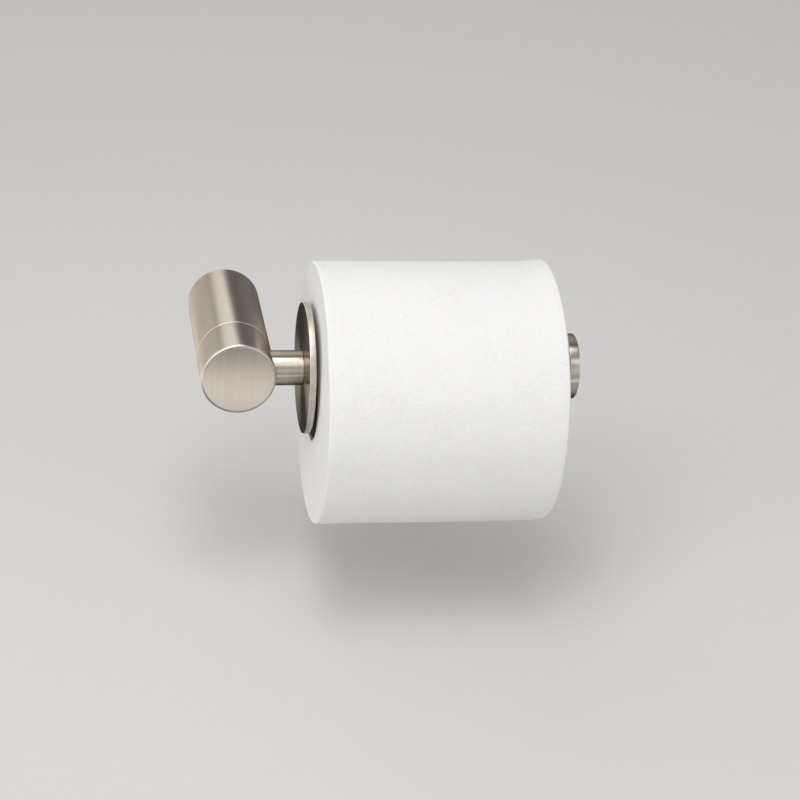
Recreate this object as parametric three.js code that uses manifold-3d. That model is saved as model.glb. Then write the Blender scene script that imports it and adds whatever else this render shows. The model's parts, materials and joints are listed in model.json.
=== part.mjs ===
// Single-post pivoting toilet paper holder, hanging from its wall bracket, with a roll on its arm.
//
// Millimetres. The origin is where the post's axis meets the wall. +X runs along the arm,
// -Y out of the wall into the room, +Z up. A fixed sleeve covers the wall bracket. In front of
// it a head of the same diameter turns about the post's axis and swings the arm up to change
// the roll. Threads are left smooth, and neighbouring pieces keep a small gap.

import * as THREE from 'three';
import { mergeVertices } from 'three/addons/utils/BufferGeometryUtils.js';
import Module from 'manifold-3d';

const wasm = await Module();
wasm.setup();

const GAP = 0.3; // kept between neighbouring pieces
const WELD = 1e-4; // corners closer than this are one corner
const OVERRUN = 2; // how far a cutter runs past the face it opens

// How many sides a round shape gets
const LARGE_SIDES = 48;
const BAR_SIDES = 32;
const SMALL_SIDES = 20;
const HEX_SIDES = 6;
const ARC_STEPS = 12;
const EDGE_STEPS = 2;

// The post, measured along its axis from the wall
const POST_RADIUS = 16;
const POST_REACH = 81.6; // wall to the front face
const HEAD_LENGTH = 23.7;
const HEAD_CHAMFER = 0.8;
const JOINT_CHAMFER = 0.3; // on both sides of the line between sleeve and head
const HEAD_BACK = POST_REACH - HEAD_LENGTH;

// The arm and what is on it, measured along +X from the post's axis
const ARM_REACH = 70; // wall to the arm's axis
const ARM_RADIUS = 7.5;
const DISC_RADIUS = 28.2;
const DISC_THICKNESS = 2.7;
const DISC_START = 28;
const KNOB_RADIUS = 14.2;
const KNOB_THICKNESS = 4.4;
const KNOB_END = 147;
const EDGE_CHAMFER = 0.4;
const DISC_END = DISC_START + DISC_THICKNESS;
const KNOB_START = KNOB_END - KNOB_THICKNESS;

// The roll. It hangs on the arm by the top of its core, so its axis is below the arm's.
const ROLL_RADIUS = 56.6;
const ROLL_WIDTH = 100;
const ROLL_START = 33.2;
const ROLL_EDGE = 1.2; // rounding of the winding's outer corners
const CORE_BORE = 19.7;
const CORE_WALL = 1;
const ROLL_DROP = CORE_BORE - ARM_RADIUS - GAP;

// The sleeve and its front wall, which carries the pivot
const SLEEVE_BORE = 12.4;
const SLEEVE_LENGTH = HEAD_BACK - GAP;
const FRONT_WALL = 11.2;
const FRONT_WALL_BACK = SLEEVE_LENGTH - FRONT_WALL;

// The cup-shaped wall bracket inside the sleeve
const CUP_RADIUS = SLEEVE_BORE - GAP;
const CUP_BORE = 10;
const CUP_PLATE = 3;
const CUP_DEPTH = 13;
const GROOVE_DEPTH = 0.8; // seat of the set screw
const GROOVE_HALF_WIDTH = 1.4;

// Mounting screws
const SCREW_OFFSET = 6.2; // each side of the post's axis
const SCREW_HOLE = 2.3;
const SCREW_SHANK = 1.95;
const SCREW_LENGTH = 25;
const SCREW_POINT = 5;
const SCREW_HEAD_RADIUS = 3.5;
const SCREW_HEAD_HEIGHT = 2.4;
const SCREW_HEAD_DOME = 0.9;
const RECESS_LENGTH = 3.8; // cross recess
const RECESS_WIDTH = 0.9;
const RECESS_DEPTH = 1.5;

// Set screw that holds the sleeve on the bracket, from below
const SET_SCREW_RADIUS = 2;
const SET_SCREW_OUT = 8; // its distance from the wall
const SET_SCREW_TIP_RADIUS = 0.3;
const SET_SCREW_TIP_LENGTH = 1.1;
const SET_SCREW_SUNK = 0.5; // below the sleeve's surface
const SET_SCREW_HEX = 1.1;
const SET_SCREW_HEX_DEPTH = 1.8;

// Pivot: shoulder bolt, bushing and washers on the post's axis
const SHOULDER_RADIUS = 4;
const THREAD_RADIUS = 3;
const THREAD_LENGTH = 10.4;
const BOLT_HEAD_RADIUS = 6.5;
const BOLT_HEAD_HEIGHT = 4.7;
const BOLT_HEX = 2.9;
const BOLT_HEX_DEPTH = 2.5;
const BUSHING_RADIUS = 5.7;
const FLANGE_RADIUS = 8;
const FLANGE_THICKNESS = 1;
const THRUST_RADIUS = 8.3;
const THRUST_THICKNESS = 0.6;
const WASHER_RADIUS = 7.5;
const WASHER_THICKNESS = 1;
const WAVE_THICKNESS = 0.5;
const WAVE_HEIGHT = 0.35; // each way from the washer's middle
const WAVE_COUNT = 3;

// Stop pin on the head, and the arc-shaped slot it runs in
const PIN_RADIUS = 1.4;
const PIN_ORBIT = 11.2;
const PIN_IN_SLOT = 4.1;
const PIN_IN_HEAD = 4.7;
const SLOT_DEPTH = 5;
const ARM_TRAVEL = Math.PI / 2;

// Joint between head and arm
const SPIGOT_RADIUS = 4.7;
const SPIGOT_START = 5;
const ARM_SEAT = 12; // bottom of the counterbore that takes the arm
const LOCK_SCREW_X = 9;
const LOCK_SCREW_RADIUS = 2.5;
const LOCK_GROOVE_RADIUS = 4.1;
const LOCK_GROOVE_HALF_WIDTH = 1.9;
const LOCK_TIP_RADIUS = 1.5;
const LOCK_TIP_LENGTH = 1.2;
const LOCK_HEX = 1.4;
const LOCK_HEX_DEPTH = 2.5;

// Studs and plugs along the arm
const STUD_RADIUS = 3;
const STUD_BORE = STUD_RADIUS + GAP;
const DISC_STUD_START = 17.6;
const DISC_STUD_END = 43;
const BAR_BORE = 6;
const PLUG_LENGTH = 14;
const KNOB_STUD_LENGTH = 16.4;
const KNOB_STUD_END = 145.4;
const SMALL_CHAMFER = 0.3;

const UP = new THREE.Vector3(0, 1, 0);

function at(x, y, z) {
  return new THREE.Vector3(x, y, z);
}

// Revolves a profile of [radius, height] corners about +Y
function turned(profile, sides) {
  return new THREE.LatheGeometry(profile.map(([radius, height]) => new THREE.Vector2(radius, height)), sides);
}

// A ring between two radii, from one height to another
function ring(inner, outer, start, end, sides) {
  return turned([[inner, start], [outer, start], [outer, end], [inner, end], [inner, start]], sides);
}

// A round bar between two heights, with both ends chamfered
function chamferedRod(radius, start, end, chamfer, sides) {
  return turned([
    [0, start],
    [radius - chamfer, start],
    [radius, start + chamfer],
    [radius, end - chamfer],
    [radius - chamfer, end],
    [0, end],
  ], sides);
}

// A straight cutter from one point to another, round unless it is given fewer sides
function drill(from, to, radius, sides = SMALL_SIDES) {
  const run = to.clone().sub(from);
  const cutter = new THREE.CylinderGeometry(radius, radius, run.length(), sides);
  cutter.applyQuaternion(new THREE.Quaternion().setFromUnitVectors(UP, run.clone().normalize()));
  const middle = from.clone().add(to).multiplyScalar(0.5);
  return cutter.translate(middle.x, middle.y, middle.z);
}

function toSolid(geometry) {
  const bare = geometry.clone();
  bare.deleteAttribute('normal');
  bare.deleteAttribute('uv');
  const welded = mergeVertices(bare, WELD);
  const index = welded.index.array;
  const corners = [];
  for (let i = 0; i < index.length; i += 3) {
    const [a, b, c] = index.slice(i, i + 3);
    if (a !== b && b !== c && c !== a) corners.push(a, b, c);
  }
  return new wasm.Manifold(new wasm.Mesh({
    numProp: 3,
    vertProperties: new Float32Array(welded.attributes.position.array),
    triVerts: new Uint32Array(corners),
  }));
}

function toGeometry(solid) {
  const { vertProperties, triVerts } = solid.getMesh();
  const geometry = new THREE.BufferGeometry();
  geometry.setAttribute('position', new THREE.BufferAttribute(vertProperties, 3));
  geometry.setIndex(new THREE.BufferAttribute(triVerts, 1));
  geometry.computeVertexNormals();
  return geometry;
}

function cut(geometry, cutters) {
  const start = toSolid(geometry);
  return toGeometry(cutters.reduce((solid, cutter) => solid.subtract(toSolid(cutter)), start));
}

// Materials: every mesh gets one of its own
function metal(color, roughness) {
  return new THREE.MeshStandardMaterial({ color, roughness, metalness: 0.95 });
}

function plain(color, roughness) {
  return new THREE.MeshStandardMaterial({ color, roughness, metalness: 0 });
}

const brushedNickel = () => metal(0xb9b0a4, 0.34);
const castZinc = () => metal(0x8f9194, 0.55);
const zincPlatedSteel = () => metal(0xa9abad, 0.4);
const springSteel = () => metal(0x7d7f82, 0.35);
const nylon = () => plain(0xe9e6dc, 0.5);
const greyBoard = () => plain(0xb59b79, 0.9);
const tissue = () => plain(0xf2f2f0, 0.92);

function piece(name, geometry, material) {
  const mesh = new THREE.Mesh(geometry, material);
  mesh.name = name;
  return mesh;
}

// ---- Pieces on the post's axis: +Y is out of the wall, +Z is down ----

// A cup whose floor is screwed to the wall, with a groove round its rim for the set screw
function wallBracket() {
  const cup = turned([
    [0, 0],
    [CUP_RADIUS, 0],
    [CUP_RADIUS, SET_SCREW_OUT - GROOVE_HALF_WIDTH],
    [CUP_RADIUS - GROOVE_DEPTH, SET_SCREW_OUT],
    [CUP_RADIUS, SET_SCREW_OUT + GROOVE_HALF_WIDTH],
    [CUP_RADIUS, CUP_DEPTH - SMALL_CHAMFER],
    [CUP_RADIUS - SMALL_CHAMFER, CUP_DEPTH],
    [CUP_BORE, CUP_DEPTH],
    [CUP_BORE, CUP_PLATE],
    [0, CUP_PLATE],
  ], LARGE_SIDES);
  const holes = [-SCREW_OFFSET, SCREW_OFFSET].map((x) => (
    drill(at(x, -OVERRUN, 0), at(x, CUP_PLATE + OVERRUN, 0), SCREW_HOLE)
  ));
  return piece('wall_bracket', cut(cup, holes), castZinc());
}

// A pan-head wood screw with a cross recess, standing on the bracket's floor
function mountingScrew(name, x) {
  const seat = CUP_PLATE + GAP;
  const top = seat + SCREW_HEAD_HEIGHT;
  const tip = seat - SCREW_LENGTH;
  const body = turned([
    [0, tip],
    [SCREW_SHANK, tip + SCREW_POINT],
    [SCREW_SHANK, seat],
    [SCREW_HEAD_RADIUS, seat],
    [SCREW_HEAD_RADIUS, top - SCREW_HEAD_DOME],
    [SCREW_HEAD_RADIUS - SCREW_HEAD_DOME, top],
    [0, top],
  ], SMALL_SIDES);
  const floor = top - RECESS_DEPTH / 2 + OVERRUN / 2;
  const slots = [[RECESS_LENGTH, RECESS_WIDTH], [RECESS_WIDTH, RECESS_LENGTH]].map(([width, depth]) => (
    new THREE.BoxGeometry(width, RECESS_DEPTH + OVERRUN, depth).translate(0, floor, 0)
  ));
  const screw = piece(name, cut(body, slots), zincPlatedSteel());
  screw.position.x = x;
  return screw;
}

// The slot for the stop pin: an arc round the post's axis with round ends
function stopSlot() {
  const halfWidth = PIN_RADIUS + GAP;
  const outline = new THREE.Shape();
  const end = at(PIN_ORBIT * Math.cos(ARM_TRAVEL), PIN_ORBIT * Math.sin(ARM_TRAVEL), 0);
  outline.absarc(0, 0, PIN_ORBIT + halfWidth, 0, ARM_TRAVEL, false);
  outline.absarc(end.x, end.y, halfWidth, ARM_TRAVEL, ARM_TRAVEL + Math.PI, false);
  outline.absarc(0, 0, PIN_ORBIT - halfWidth, ARM_TRAVEL, 0, true);
  outline.absarc(PIN_ORBIT, 0, halfWidth, Math.PI, 2 * Math.PI, false);
  const slot = new THREE.ExtrudeGeometry(outline, {
    depth: SLOT_DEPTH + OVERRUN,
    bevelEnabled: false,
    curveSegments: ARC_STEPS,
  });
  // Turned so that it runs from the arm's far side down to the underside of the post
  slot.rotateX(-Math.PI / 2).rotateY(-Math.PI);
  return slot.translate(0, SLEEVE_LENGTH - SLOT_DEPTH, 0);
}

// The fixed rear part of the post, a tube with a thick front wall
function postSleeve() {
  const shell = turned([
    [SLEEVE_BORE, 0],
    [POST_RADIUS, 0],
    [POST_RADIUS, SLEEVE_LENGTH - JOINT_CHAMFER],
    [POST_RADIUS - JOINT_CHAMFER, SLEEVE_LENGTH],
    [THRUST_RADIUS + GAP, SLEEVE_LENGTH],
    [THRUST_RADIUS + GAP, SLEEVE_LENGTH - THRUST_THICKNESS - GAP],
    [BUSHING_RADIUS + GAP, SLEEVE_LENGTH - THRUST_THICKNESS - GAP],
    [BUSHING_RADIUS + GAP, FRONT_WALL_BACK],
    [SLEEVE_BORE, FRONT_WALL_BACK],
    [SLEEVE_BORE, 0],
  ], LARGE_SIDES);
  const screwHole = drill(
    at(0, SET_SCREW_OUT, (CUP_RADIUS + CUP_BORE) / 2),
    at(0, SET_SCREW_OUT, POST_RADIUS + OVERRUN),
    SET_SCREW_RADIUS + GAP,
  );
  return piece('post_sleeve', cut(shell, [screwHole, stopSlot()]), brushedNickel());
}

// A grub screw with a cone point, from its tip up to its hexagon socket
function grubScrew(name, { radius, length, tipRadius, tipLength, hex, hexDepth }) {
  const body = turned([
    [0, 0],
    [tipRadius, 0],
    [radius, tipLength],
    [radius, length],
    [0, length],
  ], SMALL_SIDES);
  const socket = drill(at(0, length - hexDepth, 0), at(0, length + OVERRUN, 0), hex, HEX_SIDES);
  return piece(name, cut(body, [socket]), zincPlatedSteel());
}

function sleeveSetScrew() {
  const tip = CUP_RADIUS - GROOVE_DEPTH + GAP;
  const screw = grubScrew('sleeve_set_screw', {
    radius: SET_SCREW_RADIUS,
    length: POST_RADIUS - SET_SCREW_SUNK - tip,
    tipRadius: SET_SCREW_TIP_RADIUS,
    tipLength: SET_SCREW_TIP_LENGTH,
    hex: SET_SCREW_HEX,
    hexDepth: SET_SCREW_HEX_DEPTH,
  });
  screw.rotation.x = Math.PI / 2;
  screw.position.set(0, SET_SCREW_OUT, tip);
  return screw;
}

// Heights of the pivot's stack, from the sleeve's front wall back to the bolt's head
const FLANGE_FRONT = FRONT_WALL_BACK - GAP;
const FLANGE_BACK = FLANGE_FRONT - FLANGE_THICKNESS;
const WAVE_MIDDLE = FLANGE_BACK - GAP - WAVE_HEIGHT - WAVE_THICKNESS / 2;
const WASHER_FRONT = WAVE_MIDDLE - WAVE_HEIGHT - WAVE_THICKNESS / 2 - GAP;
const BOLT_SEAT = WASHER_FRONT - WASHER_THICKNESS - GAP;
const THRUST_BACK = SLEEVE_LENGTH - THRUST_THICKNESS;
const PIVOT_BORE = SHOULDER_RADIUS + GAP;

function pivotBushing() {
  const tubeEnd = THRUST_BACK - 2 * GAP;
  const bushing = turned([
    [PIVOT_BORE, FLANGE_BACK],
    [FLANGE_RADIUS, FLANGE_BACK],
    [FLANGE_RADIUS, FLANGE_FRONT],
    [BUSHING_RADIUS, FLANGE_FRONT],
    [BUSHING_RADIUS, tubeEnd],
    [PIVOT_BORE, tubeEnd],
    [PIVOT_BORE, FLANGE_BACK],
  ], BAR_SIDES);
  return piece('pivot_bushing', bushing, nylon());
}

function thrustWasher() {
  const washer = ring(PIVOT_BORE, THRUST_RADIUS, THRUST_BACK, SLEEVE_LENGTH, BAR_SIDES);
  return piece('thrust_washer', washer, nylon());
}

function flatWasher() {
  const back = WASHER_FRONT - WASHER_THICKNESS;
  const washer = ring(PIVOT_BORE, WASHER_RADIUS, back, WASHER_FRONT, BAR_SIDES);
  return piece('flat_washer', washer, zincPlatedSteel());
}

// A spring washer whose ring rises and falls three times round its circle
function waveWasher() {
  const geometry = ring(PIVOT_BORE, WASHER_RADIUS, -WAVE_THICKNESS / 2, WAVE_THICKNESS / 2, BAR_SIDES);
  const corners = geometry.attributes.position;
  for (let i = 0; i < corners.count; i += 1) {
    const angle = Math.atan2(corners.getZ(i), corners.getX(i));
    corners.setY(i, corners.getY(i) + WAVE_HEIGHT * Math.cos(WAVE_COUNT * angle));
  }
  const washer = piece('wave_washer', geometry, springSteel());
  washer.position.y = WAVE_MIDDLE;
  return washer;
}

// Goes through the bushing from behind, and its thread holds the head
function pivotBolt() {
  const back = BOLT_SEAT - BOLT_HEAD_HEIGHT;
  const end = SLEEVE_LENGTH + THREAD_LENGTH;
  const body = turned([
    [0, back],
    [BOLT_HEAD_RADIUS - SMALL_CHAMFER, back],
    [BOLT_HEAD_RADIUS, back + SMALL_CHAMFER],
    [BOLT_HEAD_RADIUS, BOLT_SEAT],
    [SHOULDER_RADIUS, BOLT_SEAT],
    [SHOULDER_RADIUS, SLEEVE_LENGTH],
    [THREAD_RADIUS, SLEEVE_LENGTH],
    [THREAD_RADIUS, end - SMALL_CHAMFER],
    [THREAD_RADIUS - SMALL_CHAMFER, end],
    [0, end],
  ], SMALL_SIDES);
  const socket = drill(at(0, back - OVERRUN, 0), at(0, back + BOLT_HEX_DEPTH, 0), BOLT_HEX, HEX_SIDES);
  return piece('pivot_bolt', cut(body, [socket]), zincPlatedSteel());
}

// The turning front part of the post: a solid cylinder with a stepped side bore for the arm
function pivotHead() {
  const billet = turned([
    [0, HEAD_BACK],
    [POST_RADIUS - JOINT_CHAMFER, HEAD_BACK],
    [POST_RADIUS, HEAD_BACK + JOINT_CHAMFER],
    [POST_RADIUS, POST_REACH - HEAD_CHAMFER],
    [POST_RADIUS - HEAD_CHAMFER, POST_REACH],
    [0, POST_REACH],
  ], LARGE_SIDES);
  const below = HEAD_BACK - OVERRUN;
  const beside = POST_RADIUS + OVERRUN;
  const boltEnd = SLEEVE_LENGTH + THREAD_LENGTH + GAP;
  const pinEnd = HEAD_BACK + PIN_IN_HEAD + GAP;
  return piece('pivot_head', cut(billet, [
    drill(at(0, below, 0), at(0, boltEnd, 0), THREAD_RADIUS + GAP),
    drill(at(-PIN_ORBIT, below, 0), at(-PIN_ORBIT, pinEnd, 0), PIN_RADIUS + GAP),
    drill(at(LOCK_SCREW_X, below, 0), at(LOCK_SCREW_X, ARM_REACH, 0), LOCK_SCREW_RADIUS + GAP),
    drill(at(SPIGOT_START - GAP, ARM_REACH, 0), at(beside, ARM_REACH, 0), SPIGOT_RADIUS + GAP, BAR_SIDES),
    drill(at(ARM_SEAT, ARM_REACH, 0), at(beside, ARM_REACH, 0), ARM_RADIUS + GAP, BAR_SIDES),
  ]), brushedNickel());
}

// Stands in the back of the head, on the far side from the arm
function stopPin() {
  const start = HEAD_BACK - PIN_IN_SLOT;
  const end = HEAD_BACK + PIN_IN_HEAD;
  const body = chamferedRod(PIN_RADIUS, start, end, SMALL_CHAMFER, SMALL_SIDES);
  const pin = piece('stop_pin', body, zincPlatedSteel());
  pin.position.x = -PIN_ORBIT;
  return pin;
}

// Locks the arm's spigot in the head, out of sight behind the joint
function armLockScrew() {
  const tip = ARM_REACH - LOCK_GROOVE_RADIUS - GAP;
  const screw = grubScrew('arm_lock_screw', {
    radius: LOCK_SCREW_RADIUS,
    length: tip - HEAD_BACK - GAP,
    tipRadius: LOCK_TIP_RADIUS,
    tipLength: LOCK_TIP_LENGTH,
    hex: LOCK_HEX,
    hexDepth: LOCK_HEX_DEPTH,
  });
  screw.rotation.x = Math.PI;
  screw.position.set(LOCK_SCREW_X, tip, 0);
  return screw;
}

// ---- Pieces on the arm's axis: +Y is along the arm, away from the post ----

// The short visible length of the arm between the head and the disc
function armStub() {
  const seat = ARM_SEAT + GAP;
  const end = DISC_START - GAP;
  const body = turned([
    [0, SPIGOT_START],
    [SPIGOT_RADIUS, SPIGOT_START],
    [SPIGOT_RADIUS, LOCK_SCREW_X - LOCK_GROOVE_HALF_WIDTH],
    [LOCK_GROOVE_RADIUS, LOCK_SCREW_X - LOCK_GROOVE_HALF_WIDTH],
    [LOCK_GROOVE_RADIUS, LOCK_SCREW_X + LOCK_GROOVE_HALF_WIDTH],
    [SPIGOT_RADIUS, LOCK_SCREW_X + LOCK_GROOVE_HALF_WIDTH],
    [SPIGOT_RADIUS, seat],
    [ARM_RADIUS, seat],
    [ARM_RADIUS, end],
    [0, end],
  ], BAR_SIDES);
  const bore = drill(at(0, DISC_STUD_START - GAP, 0), at(0, end + OVERRUN, 0), STUD_BORE);
  return piece('arm_stub', cut(body, [bore]), brushedNickel());
}

// Keeps the roll off the post
function guideDisc() {
  const disc = turned([
    [STUD_BORE, DISC_START],
    [DISC_RADIUS - EDGE_CHAMFER, DISC_START],
    [DISC_RADIUS, DISC_START + EDGE_CHAMFER],
    [DISC_RADIUS, DISC_END - EDGE_CHAMFER],
    [DISC_RADIUS - EDGE_CHAMFER, DISC_END],
    [STUD_BORE, DISC_END],
    [STUD_BORE, DISC_START],
  ], LARGE_SIDES);
  return piece('guide_disc', disc, brushedNickel());
}

// Screwed into the stub and the bar, it clamps the disc between them
function discStud() {
  const stud = chamferedRod(STUD_RADIUS, DISC_STUD_START, DISC_STUD_END, SMALL_CHAMFER, SMALL_SIDES);
  return piece('disc_stud', stud, zincPlatedSteel());
}

const BAR_START = DISC_END + GAP;
const BAR_END = KNOB_START - GAP;

// The tube that the roll hangs on
function rollBar() {
  return piece('roll_bar', ring(BAR_BORE, ARM_RADIUS, BAR_START, BAR_END, BAR_SIDES), brushedNickel());
}

// A tapped plug pressed into one end of the tube
function barPlug(name, start) {
  const plug = ring(STUD_BORE, BAR_BORE - GAP, start, start + PLUG_LENGTH, BAR_SIDES);
  return piece(name, plug, zincPlatedSteel());
}

function knobStud() {
  const start = KNOB_STUD_END - KNOB_STUD_LENGTH;
  const stud = chamferedRod(STUD_RADIUS, start, KNOB_STUD_END, SMALL_CHAMFER, SMALL_SIDES);
  return piece('knob_stud', stud, zincPlatedSteel());
}

// Keeps the roll on the bar
function endKnob() {
  const body = chamferedRod(KNOB_RADIUS, KNOB_START, KNOB_END, EDGE_CHAMFER, LARGE_SIDES);
  const bore = drill(at(0, KNOB_START - OVERRUN, 0), at(0, KNOB_STUD_END + GAP, 0), STUD_BORE);
  return piece('end_knob', cut(body, [bore]), brushedNickel());
}

// ---- The roll, on its own axis: +Y is along the arm ----

const ROLL_END = ROLL_START + ROLL_WIDTH;
const CORE_RADIUS = CORE_BORE + CORE_WALL;

function cardboardCore() {
  const core = ring(CORE_BORE, CORE_RADIUS, ROLL_START, ROLL_END, LARGE_SIDES);
  return piece('cardboard_core', core, greyBoard());
}

// The wound paper, a thick ring with rounded outer corners
function paperRoll() {
  const bore = CORE_RADIUS + GAP;
  const shoulder = ROLL_RADIUS - ROLL_EDGE;
  const outline = new THREE.Path();
  outline.moveTo(bore, ROLL_START);
  outline.lineTo(shoulder, ROLL_START);
  outline.absarc(shoulder, ROLL_START + ROLL_EDGE, ROLL_EDGE, -Math.PI / 2, 0, false);
  outline.absarc(shoulder, ROLL_END - ROLL_EDGE, ROLL_EDGE, 0, Math.PI / 2, false);
  outline.lineTo(bore, ROLL_END);
  outline.lineTo(bore, ROLL_START);
  const winding = new THREE.LatheGeometry(outline.getPoints(EDGE_STEPS), LARGE_SIDES);
  return piece('paper_roll', winding, tissue());
}

// ---- Assembly ----

const wallPost = new THREE.Group();
wallPost.rotation.x = Math.PI; // the pieces' +Y becomes -Y, out of the wall
wallPost.add(
  wallBracket(),
  mountingScrew('mounting_screw_left', -SCREW_OFFSET),
  mountingScrew('mounting_screw_right', SCREW_OFFSET),
  postSleeve(),
  sleeveSetScrew(),
  pivotBushing(),
  thrustWasher(),
  waveWasher(),
  flatWasher(),
);

const pivot = new THREE.Group();
pivot.rotation.x = Math.PI;
pivot.add(pivotBolt(), pivotHead(), stopPin(), armLockScrew());

const roll = new THREE.Group();
roll.position.z = -ROLL_DROP;
roll.add(cardboardCore(), paperRoll());

const arm = new THREE.Group();
arm.position.y = -ARM_REACH;
arm.rotation.z = -Math.PI / 2; // the pieces' +Y becomes +X, along the arm
arm.add(
  armStub(),
  guideDisc(),
  discStud(),
  rollBar(),
  barPlug('bar_inner_plug', BAR_START + GAP),
  barPlug('bar_outer_plug', BAR_END - GAP - PLUG_LENGTH),
  knobStud(),
  endKnob(),
  roll,
);

const group = new THREE.Group();
group.add(wallPost, pivot, arm);

export default group;
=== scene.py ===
import json
import math
import random

import bmesh
import bpy
from mathutils import Matrix, Vector, noise


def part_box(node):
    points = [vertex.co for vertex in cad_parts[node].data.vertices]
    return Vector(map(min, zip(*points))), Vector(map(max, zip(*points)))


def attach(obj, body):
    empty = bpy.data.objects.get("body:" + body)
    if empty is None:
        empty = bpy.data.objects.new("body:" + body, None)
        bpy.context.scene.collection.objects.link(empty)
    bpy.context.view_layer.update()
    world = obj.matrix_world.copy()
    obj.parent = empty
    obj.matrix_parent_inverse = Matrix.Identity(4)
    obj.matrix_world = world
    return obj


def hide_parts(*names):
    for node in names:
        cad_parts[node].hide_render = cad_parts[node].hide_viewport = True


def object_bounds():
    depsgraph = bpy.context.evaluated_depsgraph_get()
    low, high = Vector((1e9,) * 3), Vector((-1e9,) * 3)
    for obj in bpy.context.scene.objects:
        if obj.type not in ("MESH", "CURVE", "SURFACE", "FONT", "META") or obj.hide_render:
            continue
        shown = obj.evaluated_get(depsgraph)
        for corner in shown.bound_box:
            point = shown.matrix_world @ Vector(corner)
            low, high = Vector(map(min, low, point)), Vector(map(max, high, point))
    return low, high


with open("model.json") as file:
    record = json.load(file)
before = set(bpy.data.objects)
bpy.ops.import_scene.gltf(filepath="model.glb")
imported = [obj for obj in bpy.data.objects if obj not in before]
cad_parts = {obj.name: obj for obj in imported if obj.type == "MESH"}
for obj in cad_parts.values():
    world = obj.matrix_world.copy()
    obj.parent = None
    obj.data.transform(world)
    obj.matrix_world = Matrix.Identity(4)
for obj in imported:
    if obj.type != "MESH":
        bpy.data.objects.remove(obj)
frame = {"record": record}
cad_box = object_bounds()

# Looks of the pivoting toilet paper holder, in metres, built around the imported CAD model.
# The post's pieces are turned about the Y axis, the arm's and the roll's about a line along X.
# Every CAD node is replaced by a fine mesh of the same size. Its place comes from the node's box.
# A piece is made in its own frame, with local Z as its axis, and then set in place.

MM = 0.001

# ---- Sides and steps of the fine meshes ----

ROUND_SIDES = 192
ROLL_SIDES = 384
BORE_SIDES = 96
SMALL_SIDES = 64
THREAD_SIDES = 48
HEX_SIDES = 6
FILLET_STEPS = 5
CROWN_STEPS = 12
SLOT_STEPS = 24
STEPS_PER_PITCH = 6  # of a screw thread
DEEPEST_THREAD = 0.4  # as a part of the radius that it is cut into
SHARP_ANGLE = math.radians(32)
WELD = 0.002  # millimetres: corners closer than this become one after a cut
ON_AXIS = 1e-7  # closer to the axis than this is on it
LEVEL = 1e-9  # a stretch of an outline that climbs less than this is level
SIDE_SLANT = 0.12  # a face whose normal rises less than this belongs to a turned piece's side
FLAT_SLANT = 0.97  # and one whose normal rises more than this to its flat ends

# ---- Inner sizes that a node's box doesn't give ----

SLEEVE_BORE = 12.4 * MM
FRONT_WALL = 11.2 * MM
THRUST_RECESS = 0.9 * MM
CUP_BORE = 10 * MM
CUP_PLATE = 3 * MM
GROOVE_DEPTH = 0.8 * MM
GROOVE_HALF_WIDTH = 1.4 * MM
SET_SCREW_HOLE = 2.25 * MM
MOUNTING_HOLE = 2.3 * MM
SCREW_SHANK = 1.95 * MM
SCREW_POINT = 5 * MM
SCREW_HEAD_HEIGHT = 2.4 * MM
SCREW_PITCH = 1.9 * MM
SCREW_THREAD_DEPTH = 0.65 * MM
SCREW_SHARPNESS = 2.4
SCREW_NECK = 3 * MM  # the plain stretch under the head
RECESS_LENGTH = 3.8 * MM
RECESS_WIDTH = 0.9 * MM
RECESS_DEPTH = 1.5 * MM
SHOULDER_RADIUS = 4 * MM
PIVOT_BORE = 4.3 * MM
BUSHING_RADIUS = 5.7 * MM
FLANGE_THICKNESS = 1 * MM
BOLT_HEAD_HEIGHT = 4.7 * MM
BOLT_HEX = 2.9 * MM
BOLT_HEX_DEPTH = 2.5 * MM
THREAD_RADIUS = 3 * MM  # of the bolt and both studs
THREAD_PITCH = 1 * MM
THREAD_DEPTH = 0.6 * MM
GRUB_DEPTH = 0.55  # a grub screw's thread depth, in pitches
STUD_BORE = 3.3 * MM
STOP_SLOT_DEPTH = 5 * MM
WAVE_THICKNESS = 0.5 * MM
WAVE_HEIGHT = 0.35 * MM
WAVE_COUNT = 3
SPIGOT_RADIUS = 4.7 * MM
SPIGOT_LENGTH = 7.2 * MM
ARM_SEAT = 7 * MM  # from the spigot's end to the recess for the arm's full width
LOCK_GROOVE_RADIUS = 4.1 * MM
LOCK_GROOVE_HALF_WIDTH = 1.9 * MM
BAR_BORE = 6 * MM
CORE_BORE = 19.7 * MM
GAP = 0.3 * MM  # between neighbouring CAD pieces
CROWN = 0.45 * MM  # height of the dome of the head's front face
FRONT_FILLET = 1.2 * MM
JOINT_FILLET = 0.35 * MM
FIT = 0.06 * MM  # the visible gap where the arm enters the head


# ---- Places, all read from the frame ----

BODY_OF = {
    node: body for body, members in frame["record"]["behaviour"]["bodies"].items() for node in members
}


def out_of_wall(node):
    """Where a node of the post starts and ends, measured from the wall."""
    low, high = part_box(node)
    return -high.y, -low.y


def along_arm(node):
    """Where a node of the arm starts and ends, measured from the post's axis."""
    low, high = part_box(node)
    return low.x, high.x


def radius_of(node):
    low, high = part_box(node)
    return (high.z - low.z) / 2


def middle_of(node):
    low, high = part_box(node)
    return (low + high) / 2


ARM_OUT = -middle_of("roll_bar").y
ON_POST = Matrix.Rotation(math.radians(90), 4, "X")  # local +Z out of the wall, +Y up
ALONG_X = Matrix(((0, 0, 1, 0), (1, 0, 0, 0), (0, 1, 0, 0), (0, 0, 0, 1)))  # local +Z along +X, +Y up
ON_ARM = Matrix.Translation((0, -ARM_OUT, 0)) @ ALONG_X
ON_ROLL = Matrix.Translation((0, middle_of("paper_roll").y, middle_of("paper_roll").z)) @ ALONG_X


# ---- Mesh code ----

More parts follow.
